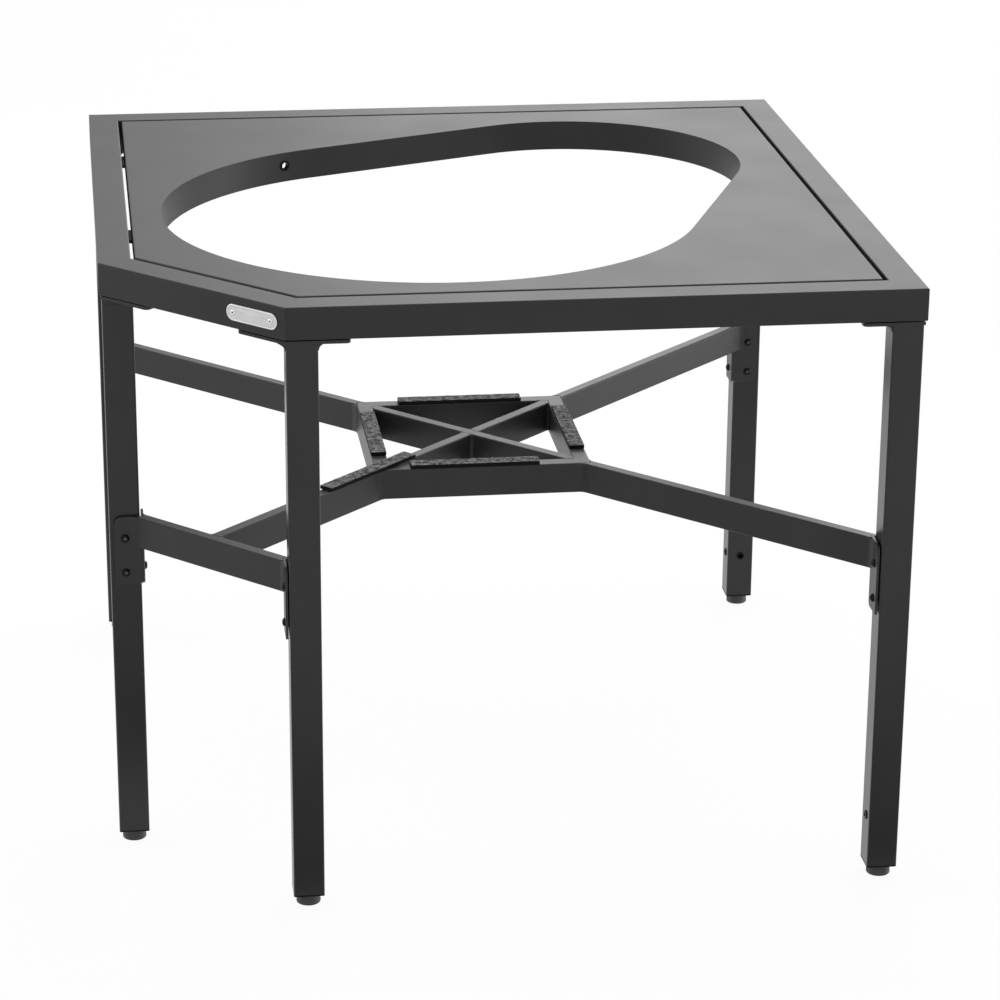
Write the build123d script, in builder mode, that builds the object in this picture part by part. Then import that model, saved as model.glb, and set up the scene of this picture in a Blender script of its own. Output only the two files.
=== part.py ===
from build123d import *
import os
from math import asin, degrees, sqrt

# Corner grill frame module: a tube rim on five levelling legs, a lower cradle that carries the grill,
# and a drop-in top panel whose cut-out goes round it. Millimetres, with X to the right, Y to the rear
# and Z up. The origin is on the floor under the middle of the square plan.

os.makedirs("parts", exist_ok=True)

# Whole frame
SIDE = 970.0  # the two full sides of the square plan
CHAMFER = 210.0  # cut off each side at the near left corner
HEIGHT = 770.0  # floor to the top of the rim
FIT = 0.1  # clearance of a fixed pin, sleeve or plug in its hole, on each side
RUNNING_FIT = 0.15  # clearance of a foot's stud in its insert, on the radius
HOLE_CLEARANCE = 0.3  # clearance of a bolt in a plain hole, on the radius

# Rim rails: square tube, mitred at the corners
RAIL_WIDTH = 40.0
RAIL_DEPTH = 40.0
RAIL_WALL = 2.0
TUBE_EDGE = 1.5  # outer edge radius of the rails and bars

# Top panel: a folded sheet that drops into the rim and sits on tabs
PANEL_GAP = 5.0
PANEL_SHEET = 2.0
PANEL_FLANGE = 30.0
TAB_SHEET = 4.0
TAB_LENGTH = 50.0
TAB_REACH = 30.0
TAB_CORNER = 6.0
TAB_SQUARE_GAP = 150.0  # from a square corner of the rim to the middle of the tab
TAB_CHAMFER_GAP = 228.0  # from an end of the chamfer, along the full sides

# Cut-out: a large circle and a smaller one on the plan's diagonal, joined by their tangents
CUT_RADIUS = 342.0
CUT_MARGIN = 38.0  # panel edge to the cut-out, on the left and in front
BUMP_RADIUS = 225.0
BUMP_MARGIN = 60.0  # panel edge to the cut-out, on the right and at the rear
CUT_RIM_SHEET = 3.0
CUT_RIM_DEPTH = 40.0
BUSH_ANGLE = 74.0  # each side of the diagonal, seen from the middle of the large circle
BUSH_DROP = 18.0  # below the panel's top face
BUSH_BORE_RADIUS = 4.5
BUSH_WALL = 1.5
BUSH_FLANGE_RADIUS = 7.5
BUSH_FLANGE = 1.2
BUSH_TAIL = 2.0  # stands out behind the strip

# Bare plate on the chamfer rail
NAMEPLATE_LENGTH = 78.0
NAMEPLATE_HEIGHT = 20.0
NAMEPLATE_SHEET = 1.5
NAMEPLATE_CORNER_GAP = 11.0  # from the rim's front corner to the plate's end
RIVET_SPACING = 58.0
RIVET_RADIUS = 1.5
RIVET_HEAD_RADIUS = 3.2
RIVET_HEAD = 1.0
RIVET_HEAD_TAPER = 45.0
RIVET_LENGTH = 6.0

# Legs and their top plates
LEG_WIDTH = 38.0
LEG_WALL = 2.0
LEG_EDGE = 3.0
LEG_INSET = 3.0  # from the rim's outer faces
LEG_CORNER_GAP = 1.0  # from the ends of the chamfer
PLATE_SHEET = 4.0
PLATE_INSET = 2.0
PLATE_REACH = 77.0  # along each rail, from the rim's corner
PLATE_CORNER = 6.0
PLATE_BOLT_REACH = 58.0
WELD_RADIUS = 8.0
WELD_LAND = 0.8
SPARE_NUT_HEIGHT = 80.0

# Levelling feet
FOOT_HEIGHT = 15.0
FOOT_RADIUS = 15.0
FOOT_CHAMFER = 1.5
STUD_RADIUS = 4.0
STUD_LENGTH = 40.0
STUD_SEAT = 9.0  # depth of the stud in its foot
INSERT_LENGTH = 25.0
INSERT_FLANGE = 2.0  # the plug's square head, under the end of the tube

# Lower frame: tall narrow tubes, with corner brackets bolted to the legs
BAR_TOP = 445.0
BAR_DEPTH = 40.0
BAR_WALL = 1.5
BAR_WIDTH = 20.0
ARM_WIDTH = 15.0
CRADLE_SIDE = 280.0
BRACKET_SHEET = 3.0
BRACKET_HEIGHT = 90.0
BRACKET_FLANGE = 34.0
BRACKET_BEND = 4.0
BRACKET_CORNER = 10.0
BRACKET_FOOT_CUT = 6.0
BRACKET_BOLT_DROP = 28.0
BRACKET_BOLT_PITCH = 45.0

# Pads on the cradle and the front arm
PAD_LENGTH = 167.0
PAD_WIDTH = 20.0
PAD_THICKNESS = 5.0
PAD_CORNER = 1.0
FRONT_PAD_SHIFT = -10.0
ARM_PAD_DISTANCE = 211.0  # from the middle of the cradle to the middle of the pad

# Bolts and rivet nuts
BOLT_RADIUS = 3.0
BOLT_LENGTH = 12.0
BOLT_HEAD_RADIUS = 5.25
BOLT_HEAD = 3.3
BOLT_HEAD_RIM = 1.1  # straight part of the head, below its crown
BOLT_CROWN_RADIUS = 3.0
NUT_ACROSS = 9.0  # across the flats of its six-sided sleeve
NUT_LENGTH = 12.0
NUT_FLANGE_RADIUS = 5.5
NUT_FLANGE = 1.5  # holds plates and brackets off the tubes

# Levels and corners that follow from those sizes
RAIL_BOTTOM = HEIGHT - RAIL_DEPTH
PLATE_BOTTOM = RAIL_BOTTOM - NUT_FLANGE - PLATE_SHEET
LEG_BOTTOM = FOOT_HEIGHT + INSERT_FLANGE
PANEL_INSET = RAIL_WIDTH + PANEL_GAP
HALF = SIDE / 2
UP = Vector(0, 0, 1)
CORNER_NAMES = ["rear_left", "chamfer_side", "chamfer_front", "front_right", "rear_right"]
RAIL_NAMES = ["left_rail", "chamfer_rail", "front_rail", "right_rail", "rear_rail"]
OUTLINE = [
    Vector(-HALF, HALF),
    Vector(-HALF, CHAMFER - HALF),
    Vector(CHAMFER - HALF, -HALF),
    Vector(HALF, -HALF),
    Vector(HALF, HALF),
]


def write(builder, name):
    """Label a finished piece and write it to its own file."""
    builder.part.label = name
    export_step(builder.part, f"parts/{name}.step")


def along(start, end):
    return (end - start).normalized()


def inward(start, end):
    """Level direction from a side of an anticlockwise outline to its inside."""
    return along(start, end).rotate(Axis.Z, 90)


def inset(distance):
    """Corners of the plan outline moved inwards by a distance."""
    points = []
    for i, corner in enumerate(OUTLINE):
        first = inward(OUTLINE[i - 1], corner)
        second = inward(corner, OUTLINE[(i + 1) % len(OUTLINE)])
        points.append(corner + (first + second) * (distance / (1 + first.dot(second))))
    return points


def straight_tube(start, end, width, depth, wall, top):
    """Hollow bar between two plan points, on their line, with square ends."""
    middle = (start + end) / 2 + UP * (top - depth / 2)
    with BuildPart() as tube:
        with BuildSketch(Plane(middle, x_dir=inward(start, end), z_dir=along(start, end))):
            RectangleRounded(width, depth, TUBE_EDGE)
            Rectangle(width - 2 * wall, depth - 2 * wall, mode=Mode.SUBTRACT)
        extrude(amount=(end - start).length / 2, both=True)
    return tube.part


def loop_tube(corners, i, width, depth, wall, top):
    """One tube of a closed mitred loop, its outer face on the line from corner i to the next one."""
    start = corners[i]
    end = corners[(i + 1) % len(corners)]
    ahead = along(start, end)
    behind = along(corners[i - 1], start)
    beyond = along(end, corners[(i + 2) % len(corners)])
    shift = inward(start, end) * (width / 2)
    spare = ahead * width
    with BuildPart() as tube:
        add(straight_tube(start + shift - spare, end + shift + spare, width, depth, wall, top))
        split(bisect_by=Plane(start, z_dir=behind + ahead), keep=Keep.TOP)
        split(bisect_by=Plane(end, z_dir=ahead + beyond), keep=Keep.BOTTOM)
    return tube.part


def nut_hole():
    """Face of the six-sided hole that a rivet nut goes into."""
    with BuildSketch() as hole:
        RegularPolygon(NUT_ACROSS / 2 + FIT, 6, major_radius=False)
    return hole.sketch


# The two rail middle lines that meet at each corner: a point beside the corner, and the way along the rail
CORNER_ARMS = []
for i, corner in enumerate(OUTLINE):
    after = OUTLINE[(i + 1) % len(OUTLINE)]
    before = OUTLINE[i - 1]
    leaving = (corner + inward(corner, after) * (RAIL_WIDTH / 2), along(corner, after))
    arriving = (corner + inward(before, corner) * (RAIL_WIDTH / 2), along(corner, before))
    CORNER_ARMS.append([leaving, arriving])
PLATE_BOLTS = [[root + way * PLATE_BOLT_REACH for root, way in arms] for arms in CORNER_ARMS]

# Plate on the chamfer rail: a plane on the rail's outer face, facing out
chamfer_start = OUTLINE[1]
chamfer_end = OUTLINE[2]
plate_offset = NAMEPLATE_CORNER_GAP + NAMEPLATE_LENGTH / 2
plate_middle = chamfer_end - along(chamfer_start, chamfer_end) * plate_offset
NAMEPLATE_FACE = Plane(
    plate_middle + UP * (HEIGHT - RAIL_DEPTH / 2),
    x_dir=along(chamfer_start, chamfer_end),
    z_dir=-inward(chamfer_start, chamfer_end),
)

# Rim rails, drilled below for the rivet nuts and on the chamfer for the plate's rivets
for i, name in enumerate(RAIL_NAMES):
    first_bolt = PLATE_BOLTS[i][0]
    last_bolt = PLATE_BOLTS[(i + 1) % len(OUTLINE)][1]
    with BuildPart() as rail:
        add(loop_tube(OUTLINE, i, RAIL_WIDTH, RAIL_DEPTH, RAIL_WALL, HEIGHT))
        with BuildSketch(Plane.XY.offset(RAIL_BOTTOM)):
            with Locations(first_bolt, last_bolt):
                add(nut_hole())
        extrude(amount=2 * RAIL_WALL, mode=Mode.SUBTRACT)
        if name == "chamfer_rail":
            with BuildSketch(NAMEPLATE_FACE):
                with GridLocations(RIVET_SPACING, 0, 2, 1):
                    Circle(RIVET_RADIUS + FIT)
            extrude(amount=-2 * RAIL_WALL, mode=Mode.SUBTRACT)
    write(rail, name)

# Panel support tabs: flat tongues welded to the rails' inner faces, two to a long rail
with BuildPart() as panel_support_tabs:
    for i, name in enumerate(RAIL_NAMES):
        start = OUTLINE[i]
        end = OUTLINE[(i + 1) % len(OUTLINE)]
        length = (end - start).length
        first_tab = TAB_CHAMFER_GAP if RAIL_NAMES[i - 1] == "chamfer_rail" else TAB_SQUARE_GAP
        last_tab = length - (TAB_CHAMFER_GAP if name == "left_rail" else TAB_SQUARE_GAP)
        tab_places = [length / 2] if name == "chamfer_rail" else [first_tab, last_tab]
        face_start = start + inward(start, end) * RAIL_WIDTH
        level = HEIGHT - PANEL_FLANGE - TAB_SHEET
        with BuildSketch(Plane(face_start + UP * level, x_dir=along(start, end))) as tabs:
            with Locations(*[(place, 0) for place in tab_places]):
                Rectangle(TAB_LENGTH, TAB_REACH, align=(Align.CENTER, Align.MIN))
            free_corners = tabs.vertices().group_by(Axis((0, 0, 0), inward(start, end)))[-1]
            fillet(free_corners, TAB_CORNER)
        extrude(amount=TAB_SHEET)
write(panel_support_tabs, "panel_support_tabs")

# Cut-out outline, drawn from the middles of its two circles
cut_middle = Vector(1, 1) * (-HALF + PANEL_INSET + CUT_MARGIN + CUT_RADIUS)
bump_middle = Vector(1, 1) * (HALF - PANEL_INSET - BUMP_MARGIN - BUMP_RADIUS)
DIAGONAL = 45.0
TANGENT = 90 - degrees(asin((CUT_RADIUS - BUMP_RADIUS) / (bump_middle - cut_middle).length))


def cut_out(growth):
    """Face of the cut-out, grown by a distance all round."""
    with BuildSketch() as face:
        with BuildLine():
            large = CenterArc(cut_middle, CUT_RADIUS + growth, DIAGONAL + TANGENT, 360 - 2 * TANGENT)
            small = CenterArc(bump_middle, BUMP_RADIUS + growth, DIAGONAL - TANGENT, 2 * TANGENT)
            Line(large @ 1, small @ 0)
            Line(small @ 1, large @ 0)
        make_face()
    return face.sketch


# Top panel: sheet with its edge folded down all round, and the cut-out
with BuildPart() as top_panel:
    with BuildSketch(Plane.XY.offset(HEIGHT)):
        Polygon(*inset(PANEL_INSET))
    extrude(amount=-PANEL_FLANGE)
    fillet(top_panel.faces().sort_by(Axis.Z)[-1].edges(), PANEL_SHEET)
    with BuildSketch(Plane.XY.offset(HEIGHT - PANEL_SHEET)):
        Polygon(*inset(PANEL_INSET + PANEL_SHEET))
    extrude(amount=-PANEL_FLANGE, mode=Mode.SUBTRACT)
    with BuildSketch(Plane.XY.offset(HEIGHT)):
        add(cut_out(0))
    extrude(amount=-2 * PANEL_SHEET, mode=Mode.SUBTRACT)
write(top_panel, "top_panel")

# Bushed holes of the cut-out rim: planes that look to the middle of the large circle, where the flat
# back of a bush meets the hollow face of the strip
BUSH_SEATS = []
flange_seat = sqrt(CUT_RADIUS**2 - BUSH_FLANGE_RADIUS**2)
for turn in (-BUSH_ANGLE, BUSH_ANGLE):
    outward = Vector(1, 0).rotate(Axis.Z, DIAGONAL + turn)
    seat = cut_middle + outward * flange_seat + UP * (HEIGHT - BUSH_DROP)
    BUSH_SEATS.append(Plane(seat, x_dir=UP, z_dir=-outward))

# Cut-out rim: an upright strip under the edge of the cut-out
with BuildPart() as cutout_rim:
    with BuildSketch(Plane.XY.offset(HEIGHT - CUT_RIM_DEPTH)):
        add(cut_out(CUT_RIM_SHEET))
        add(cut_out(0), mode=Mode.SUBTRACT)
    extrude(amount=CUT_RIM_DEPTH - PANEL_SHEET)
    for seat in BUSH_SEATS:
        with BuildSketch(seat.offset(CUT_RIM_SHEET)):
            Circle(BUSH_BORE_RADIUS + BUSH_WALL + FIT)
        extrude(amount=-3 * CUT_RIM_SHEET, mode=Mode.SUBTRACT)
write(cutout_rim, "cutout_rim")

# Bushes: a flange on the strip's inner face and a sleeve through it
with BuildPart() as rim_bush:
    with BuildSketch():
        Circle(BUSH_FLANGE_RADIUS)
    extrude(amount=BUSH_FLANGE)
    chamfer(rim_bush.edges().group_by(Axis.Z)[-1], BUSH_FLANGE / 2)
    with BuildSketch():
        Circle(BUSH_BORE_RADIUS + BUSH_WALL)
    extrude(amount=-CUT_RIM_SHEET - BUSH_TAIL)
    Hole(BUSH_BORE_RADIUS)
with BuildPart() as rim_bushes:
    with Locations(*BUSH_SEATS):
        add(rim_bush.part)
write(rim_bushes, "rim_bushes")

# Bare plate on the chamfer rail, held by two rivets
with BuildPart() as nameplate:
    with BuildSketch(NAMEPLATE_FACE):
        SlotOverall(NAMEPLATE_LENGTH, NAMEPLATE_HEIGHT)
        with GridLocations(RIVET_SPACING, 0, 2, 1):
            Circle(RIVET_RADIUS + FIT, mode=Mode.SUBTRACT)
    extrude(amount=NAMEPLATE_SHEET)
write(nameplate, "nameplate")

with BuildPart() as nameplate_rivets:
    with BuildSketch(NAMEPLATE_FACE.offset(NAMEPLATE_SHEET)):
        with GridLocations(RIVET_SPACING, 0, 2, 1):
            Circle(RIVET_HEAD_RADIUS)
    extrude(amount=RIVET_HEAD, taper=RIVET_HEAD_TAPER)
    with BuildSketch(NAMEPLATE_FACE.offset(NAMEPLATE_SHEET)):
        with GridLocations(RIVET_SPACING, 0, 2, 1):
            Circle(RIVET_RADIUS)
    extrude(amount=-RIVET_LENGTH)
write(nameplate_rivets, "nameplate_rivets")

# Leg middles, and the signs of X and Y that point from each leg to its bracketed corner
edge_line = HALF - LEG_INSET - LEG_WIDTH / 2
chamfer_line = HALF - CHAMFER - LEG_CORNER_GAP - LEG_WIDTH / 2
LEGS = {
    "rear_left": (Vector(-edge_line, edge_line), Vector(1, -1)),
    "chamfer_side": (Vector(-edge_line, -chamfer_line), Vector(1, -1)),
    "chamfer_front": (Vector(-chamfer_line, -edge_line), Vector(-1, 1)),
    "front_right": (Vector(edge_line, -edge_line), Vector(-1, 1)),
    "rear_right": (Vector(edge_line, edge_line), Vector(-1, -1)),
}
SQUARE_CORNERS = ["rear_left", "front_right", "rear_right"]
BOLT_LEVELS = [BAR_TOP - BRACKET_BOLT_DROP, BAR_TOP - BRACKET_BOLT_DROP - BRACKET_BOLT_PITCH]


def bracketed_faces(name):
    """Planes on the two bracketed faces of a leg, at floor level and facing out."""
    middle, signs = LEGS[name]
    across = Vector(signs.X, 0)
    deep = Vector(0, signs.Y)
    return [
        Plane(middle + across * (LEG_WIDTH / 2), x_dir=UP, z_dir=across),
        Plane(middle + deep * (LEG_WIDTH / 2), x_dir=UP, z_dir=deep),
    ]


# Legs: square tube, pierced for the rivet nuts and, at the square corners, for spare ones lower down
for name, (middle, signs) in LEGS.items():
    with BuildPart() as leg:
        with BuildSketch(Plane.XY.offset(LEG_BOTTOM)):
            with Locations(middle):
                RectangleRounded(LEG_WIDTH, LEG_WIDTH, LEG_EDGE)
                bore = LEG_WIDTH - 2 * LEG_WALL
                Rectangle(bore, bore, mode=Mode.SUBTRACT)
        extrude(amount=PLATE_BOTTOM - LEG_BOTTOM)
        nut_levels = BOLT_LEVELS + [SPARE_NUT_HEIGHT] if name in SQUARE_CORNERS else BOLT_LEVELS
        for face in bracketed_faces(name):
            with BuildSketch(face):
                with Locations(*[(level, 0) for level in nut_levels]):
                    add(nut_hole())
            extrude(amount=-2 * LEG_WALL, mode=Mode.SUBTRACT)
    write(leg, f"leg_{name}")

# Sides of each leg that are filleted to its top plate
WELD_SIDES = {
    "rear_left": [Vector(1, 0), Vector(0, -1)],
    "chamfer_side": [Vector(0, 1), Vector(0, -1)],
    "chamfer_front": [Vector(1, 0), Vector(-1, 0)],
    "front_right": [Vector(-1, 0), Vector(0, 1)],
    "rear_right": [Vector(-1, 0), Vector(0, -1)],
}

# Leg top plates: they follow the two rails at a corner, with weld fillets down the leg
for i, name in enumerate(CORNER_NAMES):
    middle = LEGS[name][0]
    with BuildPart() as leg_plate:
        for side in WELD_SIDES[name]:
            root = middle + side * (LEG_WIDTH / 2) + UP * PLATE_BOTTOM
            with BuildSketch(Plane(root, x_dir=side, z_dir=side.cross(UP))):
                with BuildLine():
                    toe = WELD_RADIUS + WELD_LAND
                    hollow = CenterArc((toe, -toe), WELD_RADIUS, 90, 90)
                    Polyline(hollow @ 1, (0, -toe), (0, 0), (toe, 0), hollow @ 0)
                make_face()
            extrude(amount=LEG_WIDTH / 2 - LEG_EDGE, both=True)
        with BuildSketch(Plane.XY.offset(PLATE_BOTTOM)):
            Polygon(*inset(PLATE_INSET))
        extrude(amount=-2 * WELD_RADIUS, mode=Mode.INTERSECT)
        with BuildSketch(Plane.XY.offset(PLATE_BOTTOM)):
            for beside, way in CORNER_ARMS[i]:
                with Locations(Plane(beside, x_dir=way).location):
                    RectangleRounded(2 * PLATE_REACH, RAIL_WIDTH - 2 * PLATE_INSET, PLATE_CORNER)
            Polygon(*inset(PLATE_INSET), mode=Mode.INTERSECT)
            with Locations(middle):
                RectangleRounded(LEG_WIDTH, LEG_WIDTH, LEG_EDGE)
            with Locations(*PLATE_BOLTS[i]):
                Circle(BOLT_RADIUS + HOLE_CLEARANCE, mode=Mode.SUBTRACT)
        extrude(amount=PLATE_SHEET)
    write(leg_plate, f"leg_plate_{name}")

# Threaded plugs in the lower ends of the legs, each with a square head that closes the tube
with BuildPart() as leg_end_inserts:
    for name, (middle, signs) in LEGS.items():
        with BuildSketch(Plane.XY.offset(FOOT_HEIGHT)):
            with Locations(middle):
                RectangleRounded(LEG_WIDTH, LEG_WIDTH, LEG_EDGE)
        extrude(amount=INSERT_FLANGE)
        with BuildSketch(Plane.XY.offset(LEG_BOTTOM)):
            with Locations(middle):
                plug = LEG_WIDTH - 2 * LEG_WALL - 2 * FIT
                Rectangle(plug, plug)
        extrude(amount=INSERT_LENGTH)
        with BuildSketch(Plane.XY.offset(FOOT_HEIGHT)):
            with Locations(middle):
                Circle(STUD_RADIUS + RUNNING_FIT)
        extrude(amount=INSERT_FLANGE + INSERT_LENGTH, mode=Mode.SUBTRACT)
write(leg_end_inserts, "leg_end_inserts")

# Levelling feet and the studs that screw up into the legs
for name, (middle, signs) in LEGS.items():
    with BuildPart() as levelling_foot:
        with BuildSketch(Plane(middle)):
            Circle(FOOT_RADIUS)
        extrude(amount=FOOT_HEIGHT)
        chamfer(levelling_foot.edges().filter_by(GeomType.CIRCLE), FOOT_CHAMFER)
        with BuildSketch(Plane(middle + UP * FOOT_HEIGHT)):
            Circle(STUD_RADIUS + FIT)
        extrude(amount=-STUD_SEAT, mode=Mode.SUBTRACT)
    write(levelling_foot, f"levelling_foot_{name}")
    with BuildPart() as foot_stud:
        with BuildSketch(Plane(middle + UP * (FOOT_HEIGHT - STUD_SEAT))):
            Circle(STUD_RADIUS)
        extrude(amount=STUD_LENGTH)
    write(foot_stud, f"foot_stud_{name}")

# Corner brackets: an angle round the inner corner of each leg
bracket_bottom = BAR_TOP - BRACKET_HEIGHT
bracket_line = LEG_WIDTH / 2 + NUT_FLANGE
INNER_CORNERS = {name: middle + signs * bracket_line for name, (middle, signs) in LEGS.items()}
for name, (middle, signs) in LEGS.items():
    corner = INNER_CORNERS[name]
    bend = corner + signs * BRACKET_SHEET
    away = signs.normalized()
    across = Vector(-signs.X, 0)
    deep = Vector(0, -signs.Y)
    with BuildPart() as corner_bracket:
        with BuildSketch(Plane.XY.offset(bracket_bottom)):
            Polygon(
                bend,
                bend + across * (BRACKET_FLANGE + BRACKET_SHEET),
                corner + across * BRACKET_FLANGE,
                corner,
                corner + deep * BRACKET_FLANGE,
                bend + deep * (BRACKET_FLANGE + BRACKET_SHEET),
            )
        extrude(amount=BRACKET_HEIGHT)
        upright = corner_bracket.edges().filter_by(Axis.Z)
        fillet(upright.sort_by_distance(bend + UP * BAR_TOP)[0], BRACKET_BEND)
        for axis in (Axis.X, Axis.Y):
            top_edges = corner_bracket.edges().filter_by(axis).group_by(Axis.Z)[-1]
            fillet(top_edges.sort_by(SortBy.LENGTH)[0], BRACKET_CORNER)
        foot_cut = Plane(bend + UP * (bracket_bottom + BRACKET_FOOT_CUT), z_dir=away - UP)
        split(bisect_by=foot_cut, keep=Keep.BOTTOM)
        for face in bracketed_faces(name):
            with BuildSketch(face):
                with Locations(*[(level, 0) for level in BOLT_LEVELS]):
                    Circle(BOLT_RADIUS + HOLE_CLEARANCE)
            extrude(amount=2 * BRACKET_SHEET, mode=Mode.SUBTRACT)
    write(corner_bracket, f"corner_bracket_{name}")


def bracket_block(name):
    """Subtract the space of a leg and its bracket from the current piece."""
    signs = LEGS[name][1]
    block_middle = INNER_CORNERS[name] + signs * (BRACKET_SHEET - LEG_WIDTH / 2) + UP * BAR_TOP
    with Locations(block_middle):
        Box(LEG_WIDTH, LEG_WIDTH, 3 * BAR_DEPTH, mode=Mode.SUBTRACT)


# Cradle: four mitred bars in a square, with a crossed brace inside
half_cradle = CRADLE_SIDE / 2
cradle_inside = CRADLE_SIDE - 2 * BAR_WIDTH
CRADLE = [
    Vector(-half_cradle, half_cradle),
    Vector(-half_cradle, -half_cradle),
    Vector(half_cradle, -half_cradle),
    Vector(half_cradle, half_cradle),
]
for i, side_name in enumerate(["left", "front", "right", "rear"]):
    with BuildPart() as cradle_bar:
        add(loop_tube(CRADLE, i, BAR_WIDTH, BAR_DEPTH, BAR_WALL, BAR_TOP))
    write(cradle_bar, f"cradle_bar_{side_name}")

with BuildPart() as brace_long:
    add(straight_tube(CRADLE[0], CRADLE[2], ARM_WIDTH, BAR_DEPTH, BAR_WALL, BAR_TOP))
    with Locations(UP * BAR_TOP):
        Box(cradle_inside, cradle_inside, 3 * BAR_DEPTH, mode=Mode.INTERSECT)
write(brace_long, "brace_long")

with BuildPart() as brace_halves:
    for end in (CRADLE[1], CRADLE[3]):
        start = end.normalized() * (ARM_WIDTH / 2)
        add(straight_tube(start, end, ARM_WIDTH, BAR_DEPTH, BAR_WALL, BAR_TOP))
    with Locations(UP * BAR_TOP):
        Box(cradle_inside, cradle_inside, 3 * BAR_DEPTH, mode=Mode.INTERSECT)
write(brace_halves, "brace_halves")

# Arms from the cradle's corners to the brackets of the three square corners
for name, cradle_corner in zip(SQUARE_CORNERS, [CRADLE[0], CRADLE[2], CRADLE[3]]):
    root = cradle_corner * (cradle_inside / CRADLE_SIDE)
    with BuildPart() as arm:
        add(straight_tube(root, INNER_CORNERS[name], ARM_WIDTH, BAR_DEPTH, BAR_WALL, BAR_TOP))
        with Locations(UP * BAR_TOP):
            Box(CRADLE_SIDE, CRADLE_SIDE, 3 * BAR_DEPTH, mode=Mode.SUBTRACT)
        bracket_block(name)
    write(arm, f"arm_{name}")

# Crossbar between the two chamfer legs, and the front arm that joins it to the cradle
crossbar_ends = [INNER_CORNERS["chamfer_side"], INNER_CORNERS["chamfer_front"]]
with BuildPart() as crossbar:
    add(straight_tube(*crossbar_ends, ARM_WIDTH, BAR_DEPTH, BAR_WALL, BAR_TOP))
    bracket_block("chamfer_side")
    bracket_block("chamfer_front")
write(crossbar, "crossbar")

front_root = CRADLE[1] * (cradle_inside / CRADLE_SIDE)
front_seat = (crossbar_ends[0] + crossbar_ends[1]) / 2 - CRADLE[1].normalized() * (ARM_WIDTH / 2)
with BuildPart() as arm_front:
    add(straight_tube(front_root, front_seat, ARM_WIDTH, BAR_DEPTH, BAR_WALL, BAR_TOP))
    with Locations(UP * BAR_TOP):
        Box(CRADLE_SIDE, CRADLE_SIDE, 3 * BAR_DEPTH, mode=Mode.SUBTRACT)
write(arm_front, "arm_front")

# Pads: strips laid along the cradle bars and over the front corner
pad_line = half_cradle - BAR_WIDTH / 2
PADS = {
    "pad_rear": (Vector(0, pad_line), 0),
    "pad_front": (Vector(FRONT_PAD_SHIFT, -pad_line), 0),
    "pad_left": (Vector(-pad_line, 0), 90),
    "pad_right": (Vector(pad_line, 0), 90),
    "pad_front_arm": (CRADLE[1].normalized() * ARM_PAD_DISTANCE, DIAGONAL),
}
for name, (middle, turn) in PADS.items():
    with BuildPart() as pad:
        with BuildSketch(Plane.XY.offset(BAR_TOP)):
            with Locations(Location(middle, turn)):
                RectangleRounded(PAD_LENGTH, PAD_WIDTH, PAD_CORNER)
        extrude(amount=PAD_THICKNESS)
    write(pad, name)

# Button-head bolts, and the rivet nuts that they screw into
with BuildPart() as bolt:
    with BuildSketch(Plane.XZ):
        with BuildLine():
            Polyline(
                (0, -BOLT_LENGTH),
                (BOLT_RADIUS, -BOLT_LENGTH),
                (BOLT_RADIUS, 0),
                (BOLT_HEAD_RADIUS, 0),
                (BOLT_HEAD_RADIUS, BOLT_HEAD_RIM),
                (BOLT_CROWN_RADIUS, BOLT_HEAD),
                (0, BOLT_HEAD),
                close=True,
            )
        make_face()
    revolve(axis=Axis.Z)

bracket_bolt_seats = []
nut_seats = []
for name in LEGS:
    for face in bracketed_faces(name):
        for level in BOLT_LEVELS:
            seat = face.origin + UP * level
            head_seat = seat + face.z_dir * (NUT_FLANGE + BRACKET_SHEET)
            bracket_bolt_seats.append(Plane(head_seat, z_dir=face.z_dir))
            nut_seats.append(Plane(seat, x_dir=UP, z_dir=-face.z_dir))
        if name in SQUARE_CORNERS:
            seat = face.origin + UP * SPARE_NUT_HEIGHT
            nut_seats.append(Plane(seat, x_dir=UP, z_dir=-face.z_dir))
plate_bolt_seats = []
for pair in PLATE_BOLTS:
    for point in pair:
        plate_bolt_seats.append(Plane(point + UP * PLATE_BOTTOM, z_dir=-UP))
        nut_seats.append(Plane(point + UP * RAIL_BOTTOM, z_dir=UP))

with BuildPart() as bracket_bolts:
    with Locations(*bracket_bolt_seats):
        add(bolt.part)
write(bracket_bolts, "bracket_bolts")

with BuildPart() as plate_bolts:
    with Locations(*plate_bolt_seats):
        add(bolt.part)
write(plate_bolts, "plate_bolts")

with BuildPart() as rivet_nut:
    with BuildSketch():
        RegularPolygon(NUT_ACROSS / 2, 6, major_radius=False)
        Circle(BOLT_RADIUS + FIT, mode=Mode.SUBTRACT)
    extrude(amount=NUT_LENGTH)
    with BuildSketch():
        Circle(NUT_FLANGE_RADIUS)
        Circle(BOLT_RADIUS + FIT, mode=Mode.SUBTRACT)
    extrude(amount=-NUT_FLANGE)
with BuildPart() as rivet_nuts:
    with Locations(*nut_seats):
        add(rivet_nut.part)
write(rivet_nuts, "rivet_nuts")
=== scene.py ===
import math

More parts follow.
